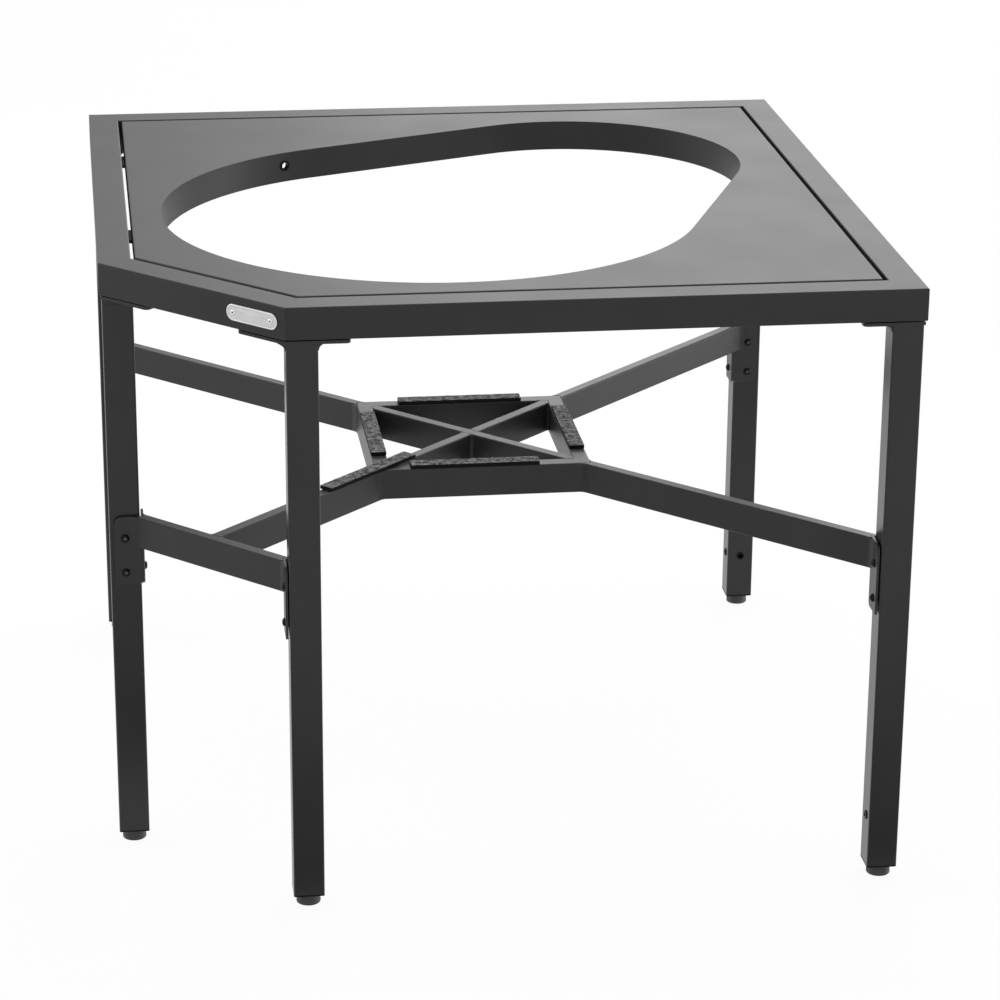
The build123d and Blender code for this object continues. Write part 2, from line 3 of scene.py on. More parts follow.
import bmesh
import bpy
import numpy as np
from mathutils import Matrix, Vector


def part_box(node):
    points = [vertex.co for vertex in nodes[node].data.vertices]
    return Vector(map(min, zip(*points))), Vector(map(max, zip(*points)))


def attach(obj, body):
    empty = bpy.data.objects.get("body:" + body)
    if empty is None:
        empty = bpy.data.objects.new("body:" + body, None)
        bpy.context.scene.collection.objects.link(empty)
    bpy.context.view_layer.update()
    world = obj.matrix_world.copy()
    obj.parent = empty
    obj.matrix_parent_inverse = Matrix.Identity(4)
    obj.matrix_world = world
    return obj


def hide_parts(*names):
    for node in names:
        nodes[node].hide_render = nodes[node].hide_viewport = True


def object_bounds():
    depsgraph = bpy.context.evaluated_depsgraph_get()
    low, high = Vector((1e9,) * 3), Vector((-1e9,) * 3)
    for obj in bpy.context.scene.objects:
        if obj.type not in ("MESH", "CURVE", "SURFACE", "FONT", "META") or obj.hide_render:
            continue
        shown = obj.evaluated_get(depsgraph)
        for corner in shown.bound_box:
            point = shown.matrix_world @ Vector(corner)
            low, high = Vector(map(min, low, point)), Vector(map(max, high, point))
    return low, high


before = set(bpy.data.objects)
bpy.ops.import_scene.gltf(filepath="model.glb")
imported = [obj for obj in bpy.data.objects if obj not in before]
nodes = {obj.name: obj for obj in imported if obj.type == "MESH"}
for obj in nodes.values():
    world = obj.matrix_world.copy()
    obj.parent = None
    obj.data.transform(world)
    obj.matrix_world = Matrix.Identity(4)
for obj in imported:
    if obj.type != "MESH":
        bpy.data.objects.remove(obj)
cad_low, cad_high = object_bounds()


# Rim rails. Five lengths of square steel tube, mitred and welded into a ring with flat tongues inside it
# for the panel to rest on, ground flush at the corners and powder coated in a dark neutral grey.
COAT_GREYS = (0.015, 0.021)
COAT_ROUGHNESS = (0.40, 0.52)
COAT_SPECULAR = 0.36
COAT_SLIDE = (0.37, 0.71, 0.13)


def new_finish(name):
    """New material, given with its node tree, its shader and its Object coordinates."""
    finish = bpy.data.materials.new(name)
    finish.use_nodes = True
    tree = finish.node_tree
    place = tree.nodes.new("ShaderNodeTexCoord").outputs["Object"]
    return finish, tree, tree.nodes["Principled BSDF"], place


def noise(tree, vector, scale, detail, roughness=0.5):
    """Cloudy noise over a vector: finer as the scale grows, busier with more detail and roughness."""
    cloud = tree.nodes.new("ShaderNodeTexNoise")
    cloud.inputs["Scale"].default_value = scale
    cloud.inputs["Detail"].default_value = detail
    cloud.inputs["Roughness"].default_value = roughness
    tree.links.new(vector, cloud.inputs["Vector"])
    return cloud.outputs["Fac"]


def grey(level, blue=1.0):
    """Grey colour of one level, its blue times a factor where the grey is a little cool."""
    return level, level, level * blue


def two_tone(tree, amount, dark, pale, start=0.0, end=1.0):
    """Colour that goes from dark to pale as the amount goes from start to end."""
    ramp = tree.nodes.new("ShaderNodeValToRGB")
    ramp.color_ramp.elements[0].position = start
    ramp.color_ramp.elements[0].color = (*dark, 1)
    ramp.color_ramp.elements[1].position = end
    ramp.color_ramp.elements[1].color = (*pale, 1)
    tree.links.new(amount, ramp.inputs["Fac"])
    return ramp.outputs["Color"]


def ranged(tree, amount, start=0.0, end=1.0, low=0.0, high=1.0):
    """Number that goes from low to high as the amount goes from start to end."""
    spread = tree.nodes.new("ShaderNodeMapRange")
    spread.inputs["From Min"].default_value = start
    spread.inputs["From Max"].default_value = end
    spread.inputs["To Min"].default_value = low
    spread.inputs["To Max"].default_value = high
    tree.links.new(amount, spread.inputs["Value"])
    return spread.outputs["Result"]


def relief(tree, height, strength, depth):
    """Bump from a height between 0 and 1 that stands for a depth in metres."""
    bump = tree.nodes.new("ShaderNodeBump")
    bump.inputs["Strength"].default_value = strength
    bump.inputs["Distance"].default_value = depth
    tree.links.new(height, bump.inputs["Height"])
    return bump.outputs["Normal"]


def powder_coat(name, seed, roughness=COAT_ROUGHNESS, greys=COAT_GREYS):
    """Baked powder: a fine orange-peel bump, a slow drift between two close greys and a faint drift in
    gloss, all from noise on Object coordinates. The seed slides the pattern, so that pieces differ."""
    coat, tree, shader, place = new_finish(name)
    shader.inputs["Specular IOR Level"].default_value = COAT_SPECULAR
    slide = tree.nodes.new("ShaderNodeMapping")
    slide.inputs["Location"].default_value = [step * seed for step in COAT_SLIDE]
    tree.links.new(place, slide.inputs["Vector"])
    slid_place = slide.outputs["Vector"]
    cloud = noise(tree, slid_place, scale=9.0, detail=5.0)
    dark, pale = greys
    tint = two_tone(tree, cloud, grey(dark, blue=1.02), grey(pale), start=0.30, end=0.72)
    gloss = ranged(tree, cloud, low=roughness[0], high=roughness[1])
    peel = noise(tree, slid_place, scale=850.0, detail=2.0)
    bump = relief(tree, peel, strength=0.35, depth=0.00012)
    tree.links.new(tint, shader.inputs["Base Color"])
    tree.links.new(gloss, shader.inputs["Roughness"])
    tree.links.new(bump, shader.inputs["Normal"])
    return coat


def finish_nodes(material, *names):
    """Give CAD nodes one finish."""
    for name in names:
        nodes[name].data.materials.clear()
        nodes[name].data.materials.append(material)


rim_coat = powder_coat("rim_powder_coat", 1)
finish_nodes(rim_coat, "left_rail", "chamfer_rail", "front_rail", "right_rail", "rear_rail")
finish_nodes(rim_coat, "panel_support_tabs")


# Top panel and cut-out rim. The panel is a folded steel sheet that drops into the ring, and an upright
# strip rolled to the cut-out's outline is welded under its edge. Both are coated with the frame.
panel_coat = powder_coat("panel_powder_coat", 2)
finish_nodes(panel_coat, "top_panel", "cutout_rim")


# Bushes of the cut-out rim. Turned steel sleeves with a flange, blackened and oiled, and pressed into the
# two holes of the strip.
OXIDE_SPECULAR = 0.14


def blackened_steel(name, dark, pale, metallic):
    """Black oxide on steel: oiled, with a fine speckle in its grey and its gloss. With no metal it is
    nearly black; as metal with paler greys it is the lighter dark metal that paints a glint in the bolts'
    sockets."""
    steel, tree, shader, place = new_finish(name)
    shader.inputs["Specular IOR Level"].default_value = OXIDE_SPECULAR
    shader.inputs["Metallic"].default_value = metallic
    speckle = noise(tree, place, scale=1600.0, detail=3.0)
    tint = two_tone(tree, speckle, grey(dark), grey(pale), start=0.35, end=0.75)
    gloss = ranged(tree, speckle, low=0.18, high=0.32)
    tree.links.new(tint, shader.inputs["Base Color"])
    tree.links.new(gloss, shader.inputs["Roughness"])
    return steel


bolt_black = blackened_steel("bolt_black", dark=0.0015, pale=0.005, metallic=0.0)
finish_nodes(bolt_black, "rim_bushes")


# Bare plate. A long rounded plate of brushed aluminium with a groove inside a raised, polished rim, pressed
# from sheet and riveted to the chamfer rail near its front end. Its face carries nothing.
PLATE_LENGTH = 0.078
PLATE_HEIGHT = 0.020
PLATE_THICKNESS = 0.0015
PLATE_FACE = 0.0012
PLATE_GROOVE = 0.0009
PLATE_CORNER_GAP = 0.011
PLATE_TURN = -math.pi / 4
PLATE_STEPS = 96
SIDE = 0.970
CHAMFER = 0.210
RAIL = 0.040


def surface(name, grids, crease=40):
    """Mesh of one or more grids of points (grid, row, column, xyz). Each cell is a four-sided face and the
    last column meets the first; points that coincide at poles become one, the faces turn outwards, and
    edges sharper than the crease angle stay sharp under smooth shading."""
    index = np.arange(grids[..., 0].size).reshape(grids.shape[:3])
    beside = np.roll(index, -1, axis=2)
    cells = [index[:, :-1], beside[:, :-1], beside[:, 1:], index[:, 1:]]
    faces = np.stack(cells, axis=-1).reshape(-1, 4)
    mesh = bpy.data.meshes.new(name)
    mesh.from_pydata(grids.reshape(-1, 3).tolist(), [], faces.tolist())
    work = bmesh.new()
    work.from_mesh(mesh)
    bmesh.ops.remove_doubles(work, verts=work.verts, dist=1e-6)
    bmesh.ops.recalc_face_normals(work, faces=work.faces)
    work.to_mesh(mesh)
    work.free()
    mesh.polygons.foreach_set("use_smooth", np.ones(len(mesh.polygons), dtype=bool))
    mesh.set_sharp_from_angle(angle=math.radians(crease))
    return mesh


def piece(mesh, material, body):
    """Object of a finished mesh at the origin, with one finish, riding on a body."""
    mesh.materials.append(material)
    made = bpy.data.objects.new(mesh.name, mesh)
    bpy.context.scene.collection.objects.link(made)
    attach(made, body)
    return made


def seated(points, seats, facing):
    """Copies of a shape, one on each seat: the shape's own Z goes along the way the seat faces, its X and Y
    along two directions square to that, and its origin goes to the seat."""
    facing = np.asarray(facing, float)
    seats = np.asarray(seats, float)
    upright = np.abs(facing[:, 2:]) > 0.9
    helper = np.where(upright, (1.0, 0.0, 0.0), (0.0, 0.0, 1.0))
    across = np.cross(helper, facing)
    across /= np.linalg.norm(across, axis=1, keepdims=True)
    upward = np.cross(facing, across)
    axes = np.stack([across, upward, facing], axis=1)
    return np.einsum("rck,skx->srcx", points, axes) + seats[:, None, None, :]


def full_turn(steps):
    """Angles of evenly spaced points round a circle."""
    return np.linspace(0, 2 * math.pi, steps, endpoint=False)


def rings(radius, rise, turn):
    """Points round Z, from a radius and a height for each row and an angle for each column."""
    x = radius * np.cos(turn)
    y = radius * np.sin(turn)
    return np.stack([x, y, np.broadcast_to(rise, x.shape)], axis=-1)


def rounded_plate(length, height, profile):
    """Long plate with half-round ends. Around it goes the outline of a slot: a circle, parted along X. The
    profile gives for each row how far inside the outline it lies and how high; a row that lies half the
    plate's height inside closes on the slot's middle line."""
    turn = full_turn(PLATE_STEPS)
    inside, rise = np.array(profile).T
    points = rings((height / 2 - inside)[:, None], rise[:, None], turn)
    points[..., 0] += (length - height) / 2 * np.sign(np.cos(turn))
    return points


def brushed_aluminium(name, dark, pale):
    """Satin aluminium brushed along the plate: noise drawn out along the plate's length moves the metal
    between a dark and a pale grey, drifts the gloss and lifts a fine bump."""
    metal, tree, shader, place = new_finish(name)
    shader.inputs["Metallic"].default_value = 1.0
    stretch = tree.nodes.new("ShaderNodeMapping")
    stretch.vector_type = "TEXTURE"
    stretch.inputs["Rotation"].default_value = (0, 0, PLATE_TURN)
    stretch.inputs["Scale"].default_value = (40.0, 1.0, 1.0)
    tree.links.new(place, stretch.inputs["Vector"])
    lines = noise(tree, stretch.outputs["Vector"], scale=2600.0, detail=3.0)
    tint = two_tone(tree, lines, grey(dark, blue=1.01), grey(pale, blue=1.01), start=0.30, end=0.75)
    gloss = ranged(tree, lines, low=0.34, high=0.50)
    bump = relief(tree, lines, strength=0.25, depth=0.00005)
    tree.links.new(tint, shader.inputs["Base Color"])
    tree.links.new(gloss, shader.inputs["Roughness"])
    tree.links.new(bump, shader.inputs["Normal"])
    return metal


plate_profile = [
    (PLATE_HEIGHT / 2, 0.0),
    (0.0002, 0.0),
    (0.0, 0.0002),
    (0.0, 0.0009),
    (0.0003, PLATE_FACE),
    (0.0024, PLATE_FACE),
    (0.0026, PLATE_GROOVE),
    (0.0030, PLATE_GROOVE),
    (0.0032, PLATE_FACE),
    (PLATE_HEIGHT / 2, PLATE_FACE),
]
rim_profile = [
    (0.0002, 0.0010),
    (0.0003, 0.0013),
    (0.0007, PLATE_THICKNESS),
    (0.0012, PLATE_THICKNESS),
    (0.0016, 0.0013),
    (0.0017, 0.0010),
    (0.0002, 0.0010),
]
chamfer_way = np.array((1.0, -1.0, 0.0)) / math.sqrt(2)
chamfer_out = np.array((-1.0, -1.0, 0.0)) / math.sqrt(2)
chamfer_end = np.array((CHAMFER - SIDE / 2, -SIDE / 2, cad_high.z - RAIL / 2))
plate_seat = chamfer_end - chamfer_way * (PLATE_CORNER_GAP + PLATE_LENGTH / 2)
plate_shape = rounded_plate(PLATE_LENGTH, PLATE_HEIGHT, plate_profile)
plate_mesh = surface("bare_plate", seated(plate_shape, [plate_seat], [chamfer_out]))
plate_metal = brushed_aluminium("brushed_aluminium", dark=0.58, pale=0.82)
bare_plate = piece(plate_mesh, plate_metal, "frame")
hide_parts("nameplate")
rim_shape = rounded_plate(PLATE_LENGTH, PLATE_HEIGHT, rim_profile)
rim_mesh = surface("bare_plate_rim", seated(rim_shape, [plate_seat], [chamfer_out]))
polished_metal = brushed_aluminium("polished_aluminium", dark=0.76, pale=0.86)
piece(rim_mesh, polished_metal, "frame")


# Rivets of the bare plate. Hollow aluminium rivets with domed heads, pulled from outside, so that each
# head keeps a hole in its middle with the end of the pulling pin, the mandrel, in it. The mandrel is
# painted nearly black as the shade in that hole.
RIVET_SPACING = 0.058
RIVET_HEAD = 0.0032
RIVET_BORE = 0.00115
RIVET_FLOOR = 0.0001
RIVET_STEPS = 32
MANDREL_RADIUS = 0.00110
MANDREL_STEPS = 24


def turned(profile, steps):
    """Shape turned on a lathe: each row of the profile gives a radius and a height, carried round Z."""
    radius, rise = np.array(profile, float).T
    return rings(radius[:, None], rise[:, None], full_turn(steps))


rivet_profile = [
    (0.0, 0.0),
    (RIVET_HEAD, 0.0),
    (RIVET_HEAD, 0.00025),
    (0.0030, 0.00055),
    (0.0025, 0.00080),
    (0.0019, 0.00090),
    (0.0014, 0.00085),
    (RIVET_BORE, 0.0007),
    (RIVET_BORE, RIVET_FLOOR),
    (0.0, RIVET_FLOOR),
]
mandrel_profile = [
    (0.0, RIVET_FLOOR),
    (MANDREL_RADIUS, RIVET_FLOOR),
    (MANDREL_RADIUS, 0.00045),
    (0.0008, 0.00060),
    (0.0, 0.00055),
]
rivet_offsets = np.array([[-RIVET_SPACING / 2], [RIVET_SPACING / 2]]) * chamfer_way
rivet_seats = plate_seat + rivet_offsets + chamfer_out * PLATE_FACE
rivet_facing = [chamfer_out] * len(rivet_seats)
rivet_shape = turned(rivet_profile, RIVET_STEPS)
rivet_mesh = surface("plate_rivets", seated(rivet_shape, rivet_seats, rivet_facing))
plate_rivets = piece(rivet_mesh, polished_metal, "frame")
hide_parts("nameplate_rivets")
# The mandrels take the bolts' nearly black finish: painted shade in the rivets' holes.
mandrel_shape = turned(mandrel_profile, MANDREL_STEPS)
mandrel_mesh = surface("rivet_mandrels_painted_shade", seated(mandrel_shape, rivet_seats, rivet_facing))
piece(mandrel_mesh, bolt_black, "frame")


# Legs and their top plates. Square steel tube, with a cut plate welded over its upper end that bolts up
# against the rails; coated in one go, a little glossier than the rim.
CORNERS = ["rear_left", "chamfer_side", "chamfer_front", "front_right", "rear_right"]
LEG_ROUGHNESS = (0.23, 0.33)
leg_coat = powder_coat("leg_powder_coat", 3, LEG_ROUGHNESS)
for corner in CORNERS:
    finish_nodes(leg_coat, f"leg_{corner}", f"leg_plate_{corner}")


# Leg end plugs and levelling feet. Moulded dark plastic: a black threaded plug pressed into each tube, its
# square head closing the end, and a round grey foot moulded on a steel stud that screws up into it.
FOOT_RADIUS = 0.015
FOOT_WAIST = 0.01475
FOOT_HEIGHT = 0.015
FOOT_BORE = 0.0041
FOOT_STEPS = 56
STUD_RADIUS = 0.004
STUD_ROOT = 0.0034
STUD_PITCH = 0.00125
STUD_STEPS = 28
THREAD_SLOPE = 1.5
ROWS_PER_PITCH = 6


def moulded_plastic(name, dark, pale, specular):
    """Moulded plastic: a fine spark-eroded texture as bump, and a slow drift between two close greys."""
    plastic, tree, shader, place = new_finish(name)
    shader.inputs["Roughness"].default_value = 0.55
    shader.inputs["Specular IOR Level"].default_value = specular
    cloud = noise(tree, place, scale=60.0, detail=4.0)
    tint = two_tone(tree, cloud, grey(dark), grey(pale, blue=1.02))
    spark = noise(tree, place, scale=1800.0, detail=2.0)
    bump = relief(tree, spark, strength=0.4, depth=0.00008)
    tree.links.new(tint, shader.inputs["Base Color"])
    tree.links.new(bump, shader.inputs["Normal"])
    return plastic


def zinc_steel(name):
    """Zinc on steel: pale metal with small crystal patches that change its grey and its gloss."""
    zinc, tree, shader, place = new_finish(name)
    shader.inputs["Metallic"].default_value = 1.0
    patch = tree.nodes.new("ShaderNodeTexVoronoi")
    patch.inputs["Scale"].default_value = 900.0
    tree.links.new(place, patch.inputs["Vector"])
    crystal = patch.outputs["Distance"]
    tint = two_tone(tree, crystal, (0.42, 0.43, 0.45), (0.62, 0.63, 0.64))
    gloss = ranged(tree, crystal, low=0.30, high=0.48)
    tree.links.new(tint, shader.inputs["Base Color"])
    tree.links.new(gloss, shader.inputs["Roughness"])
    return zinc


def threaded_rod(radius, root, pitch, length):
    """Screw thread on a rod: along Z and round it, the radius goes to and fro between root and crest as the
    height less one pitch for each turn moves through a pitch. The wave is steep and cut off at both, which
    leaves flats there; both ends of the rod close on the middle line."""
    turn = full_turn(STUD_STEPS)
    rise = np.linspace(0, length, int(length / pitch * ROWS_PER_PITCH) + 1)[:, None]
    phase = (rise / pitch - turn / (2 * math.pi)) % 1.0
    depth = np.clip((np.abs(2 * phase - 1) - 0.5) * THREAD_SLOPE + 0.5, 0, 1)
    thread = rings(root + (radius - root) * depth, rise, turn)
    bottom = np.zeros((1, STUD_STEPS, 3))
    return np.concatenate([bottom, thread, bottom + (0, 0, length)])


foot_profile = [
    (0.0, 0.0006),
    (0.0098, 0.0006),
    (0.0104, 0.0),
    (0.0132, 0.0),
    (0.0141, 0.0003),
    (0.0147, 0.0008),
    (FOOT_RADIUS, 0.0016),
    (FOOT_RADIUS, 0.0032),
    (FOOT_WAIST, 0.0035),
    (FOOT_WAIST, 0.0128),
    (0.0146, 0.0137),
    (0.0141, 0.0145),
    (0.0134, FOOT_HEIGHT),
    (FOOT_BORE, FOOT_HEIGHT),
    (FOOT_BORE, 0.006),
    (0.0, 0.006),
]
foot_plastic = moulded_plastic("foot_plastic", dark=0.030, pale=0.046, specular=0.5)
plug_plastic = moulded_plastic("plug_plastic", dark=0.002, pale=0.005, specular=0.12)
stud_zinc = zinc_steel("stud_zinc")
finish_nodes(plug_plastic, "leg_end_inserts")
foot_shape = turned(foot_profile, FOOT_STEPS)
for corner in CORNERS:
    foot_low, foot_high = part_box(f"levelling_foot_{corner}")
    stud_low, stud_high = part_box(f"foot_stud_{corner}")
    middle = (foot_low + foot_high) / 2
    foot_seat = [(middle.x, middle.y, foot_low.z)]
    foot_mesh = surface(f"moulded_foot_{corner}", seated(foot_shape, foot_seat, [(0, 0, 1)]))
    foot = piece(foot_mesh, foot_plastic, f"foot_{corner}")
    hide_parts(f"levelling_foot_{corner}")
    stud_shape = threaded_rod(STUD_RADIUS, STUD_ROOT, STUD_PITCH, stud_high.z - stud_low.z)
    stud_seat = [(middle.x, middle.y, stud_low.z)]
    stud_mesh = surface(f"threaded_stud_{corner}", seated(stud_shape, stud_seat, [(0, 0, 1)]))
    stud = piece(stud_mesh, stud_zinc, f"foot_{corner}")
    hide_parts(f"foot_stud_{corner}")


# Corner brackets and lower frame. Bent steel angles round the legs' inner corners carry a cradle of tall
# narrow tubes with a crossed brace. It is welded up with the brackets and coated as one frame.
LOWER_ROUGHNESS = (0.34, 0.46)
# The lower frame has the rim's coat, but its greys are set lighter: painted light that lifts its faces in
# the shade under the panel.
LOWER_GREYS_PAINTED_LIGHTER = (0.020, 0.028)
lower_coat_painted_lighter = powder_coat("lower_powder_coat_painted_lighter", 4, LOWER_ROUGHNESS, LOWER_GREYS_PAINTED_LIGHTER)
for corner in CORNERS:
    finish_nodes(lower_coat_painted_lighter, f"corner_bracket_{corner}")
finish_nodes(lower_coat_painted_lighter, "cradle_bar_left", "cradle_bar_front", "cradle_bar_right", "cradle_bar_rear")
finish_nodes(lower_coat_painted_lighter, "brace_long", "brace_halves", "crossbar", "arm_front")
finish_nodes(lower_coat_painted_lighter, "arm_rear_left", "arm_front_right", "arm_rear_right")


# Welds of the lower frame. Upright seams laid in the corners where the tubes meet each other and the
# brackets, run by hand from bottom to top and coated over, so that only soft ripples show.
ARM_WIDTH = 0.015
BAR_WIDTH = 0.020
ARM_WELD = 0.0095
BRACE_WELD = 0.0040
BRACKET_WELD = 0.0060
CROSSBAR_WELD = 0.0050
WELD_RIPPLE = 0.0028
WELD_WAVES = [(0.018, 2 * math.pi / WELD_RIPPLE, 1.7), (0.05, 95.0, 2.3), (0.03, 240.0, 0.9)]
WELD_TAPER = 0.002
WELD_TIP = 0.6
WELD_INSET = 0.0006
WELD_LEAN = 0.12
WELD_ROWS = 72
WELD_STEPS = 8

seam_corners = []
seam_first = []
seam_second = []
seam_legs = []


def lay_seams(corners, first_way, second_way, leg):
    """Note down seams of one size: in plan, their corners and the ways along the two faces they join."""
    seam_corners.extend(corners)
    seam_first.extend(first_way)
    seam_second.extend(second_way)
    seam_legs.extend([leg] * len(corners))


def bracket_bend(corner):
    """Outer corner of a bracket's bend in plan, and the way to it from the leg as a sign along X and Y:
    the sign of the step from the middle of the leg's box to the middle of the bracket's."""
    bracket_low, bracket_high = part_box(f"corner_bracket_{corner}")
    leg_low, leg_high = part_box(f"leg_{corner}")
    away = np.sign(np.array(bracket_low + bracket_high - leg_low - leg_high)[:2])
    bend = np.where(away > 0, np.array(bracket_high)[:2], np.array(bracket_low)[:2])
    return bend, away


def weld_seams(bottom, top):
    """Upright seams in all the noted corners. Each section is a hollow curve from a point on one face to a
    point on the other, drawn towards a point near the corner, and closes through the corner itself. The
    two reaches start from the seam's leg, swell and shrink by a short ripple and two slow drifts as the
    section is carried upwards, and taper at the ends. Each of these waves has a share of the leg, a pace
    over the height and a shift from one seam to the next."""
    corners, first_way, second_way = (
        np.pad(plan, ((0, 0), (0, 1)))[:, None, None, :] for plan in (seam_corners, seam_first, seam_second)
    )
    legs = np.array(seam_legs)[:, None, None, None]
    seam = np.arange(len(legs))[:, None, None, None]
    rise = np.linspace(bottom, top, WELD_ROWS)[None, :, None, None]
    swell = 1 + sum(share * np.sin(pace * rise + shift * seam) for share, pace, shift in WELD_WAVES)
    taper = np.clip(np.minimum(rise - bottom, top - rise) / WELD_TAPER, 0, 1) ** 0.5
    reach = legs * swell * (WELD_TIP + (1 - WELD_TIP) * taper)
    step = np.linspace(0, 1, WELD_STEPS)[None, None, :, None]
    start = corners + first_way * reach
    end = corners + second_way * reach
    hold = corners + (first_way + second_way) * reach * WELD_LEAN
    curve = (1 - step) ** 2 * start + 2 * step * (1 - step) * hold + step**2 * end
    back = np.repeat(corners, WELD_ROWS, axis=1)
    section = np.concatenate([curve, back], axis=2) + rise * (0, 0, 1)
    low_cap = np.repeat(section[:, :1, -1:], WELD_STEPS + 1, axis=2)
    high_cap = np.repeat(section[:, -1:, -1:], WELD_STEPS + 1, axis=2)
    return np.concatenate([low_cap, section, high_cap], axis=1)


# At each corner of the cradle, an arm outside it and the brace inside it leave at 45 degrees.
cradle_half = -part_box("cradle_bar_left")[0].x
cradle_inner = cradle_half - BAR_WIDTH
side_step = ARM_WIDTH / 2 * math.sqrt(2)
quarters = np.array([(1, 1), (-1, 1), (-1, -1), (1, -1)], float)
outward = quarters / math.sqrt(2)
for axis in ((1, 0), (0, 1)):
    alongside = quarters * axis
    lay_seams(quarters * cradle_half - alongside * side_step, -alongside, outward, ARM_WELD)
    lay_seams(quarters * cradle_inner - alongside * side_step, -alongside, -outward, BRACE_WELD)

# The brace crosses itself in the middle, where four corners meet.
next_outward = np.roll(outward, 1, axis=0)
lay_seams((outward + next_outward) * ARM_WIDTH / 2, outward, next_outward, BRACE_WELD)

# Each bracket takes the end of an arm, or of the crossbar, on the outside of its bend.
for corner in CORNERS:
    bend, away = bracket_bend(corner)
    for axis in ((1, 0), (0, 1)):
        alongside = away * axis
        lay_seams([bend - alongside * side_step], [-alongside], [away / math.sqrt(2)], BRACKET_WELD)

# The front arm starts square from the middle of the crossbar.
arm_low, arm_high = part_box("arm_front")
arm_root = np.array(arm_low)[:2] + ARM_WIDTH / 4 * math.sqrt(2)
for sign in (1, -1):
    crossbar_way = chamfer_way[:2] * sign
    lay_seams([arm_root + crossbar_way * ARM_WIDTH / 2], [crossbar_way], [-chamfer_out[:2]], CROSSBAR_WELD)

seams = weld_seams(arm_low.z + WELD_INSET, arm_high.z - WELD_INSET)
piece(surface("weld_seams", seams, crease=60), lower_coat_painted_lighter, "frame")


# Pads. Strips cut from a dense black fibre gasket, pale flecks in it, glued along the cradle bars and the
# front arm, where the hot grill stands on them.
PAD_LENGTH = 0.167
PAD_WIDTH = 0.020
PAD_THICKNESS = 0.005
PAD_EDGE = 0.0004
PAD_ROUGH = 0.00004
PAD_ROWS = 150
PAD_ACROSS = 24
PAD_UP = 7
PAD_WAVES = 18
PAD_PACES = (90, 1500)
PAD_SHARES = (1.0, 0.35)
PAD_GLUED = 0.6
PAD_ENDS = (0.0, 0.4, 0.75)
PAD_WAYS = {
    "pad_rear": (1.0, 0.0, 0.0),
    "pad_front": (1.0, 0.0, 0.0),
    "pad_left": (0.0, 1.0, 0.0),
    "pad_right": (0.0, 1.0, 0.0),
    "pad_front_arm": (math.sqrt(0.5), math.sqrt(0.5), 0.0),
}


def gasket_strip(seed):
    """Cut strip of fibre. A box surface is laid out as rows along the strip and columns round it, with rows
    that close each end on its middle line; points beyond an inner box are drawn to an even distance from
    it, which rounds the edges. Seeded waves, from slow and high to fast and low, roughen it, and fade out
    towards the glued underside."""
    half = np.array((PAD_LENGTH, PAD_WIDTH, PAD_THICKNESS)) / 2
    across = np.linspace(-1, 1, PAD_ACROSS + 1)[:-1]
    rising = np.linspace(-1, 1, PAD_UP + 1)[:-1]
    y = np.concatenate([across, np.ones(PAD_UP), -across, -np.ones(PAD_UP)])
    z = np.concatenate([np.ones(PAD_ACROSS), -rising, -np.ones(PAD_ACROSS), rising])
    end = np.ones(len(PAD_ENDS))
    along = np.concatenate([-end, np.linspace(-1, 1, PAD_ROWS), end])[:, None]
    fill = np.concatenate([PAD_ENDS, np.ones(PAD_ROWS), PAD_ENDS[::-1]])[:, None]
    slim = PAD_THICKNESS / PAD_WIDTH
    x = along * half[0] + 0 * y
    y = y * half[1] * (1 - (1 - fill) * slim)
    z = z * half[2] * fill
    points = np.stack([x, y, z], axis=-1)
    inner = np.clip(points, -(half - PAD_EDGE), half - PAD_EDGE)
    beyond = points - inner
    span = np.linalg.norm(beyond, axis=-1, keepdims=True)
    way = beyond / np.maximum(span, 1e-9)
    rounded = inner + way * PAD_EDGE
    chance = np.random.default_rng(seed)
    waves = chance.normal(size=(PAD_WAVES, 3)) * np.geomspace(*PAD_PACES, PAD_WAVES)[:, None]
    shift = chance.uniform(0, 2 * math.pi, PAD_WAVES)
    share = np.geomspace(*PAD_SHARES, PAD_WAVES)
    rough = (np.sin(rounded @ waves.T + shift) * share).sum(axis=-1, keepdims=True)
    loose = np.clip((rounded[..., 2:] + half[2]) / (PAD_GLUED * half[2]), 0, 1)
    rough_strip = rounded + way * rough * loose * PAD_ROUGH
    rough_strip[..., 2] += half[2]
    return rough_strip


def blended(tree, amount):
    """Node that blends its colour A into its colour B as the amount goes from 0 to 1."""
    blend = tree.nodes.new("ShaderNodeMix")
    blend.data_type = "RGBA"
    tree.links.new(amount, blend.inputs["Factor"])
    return blend


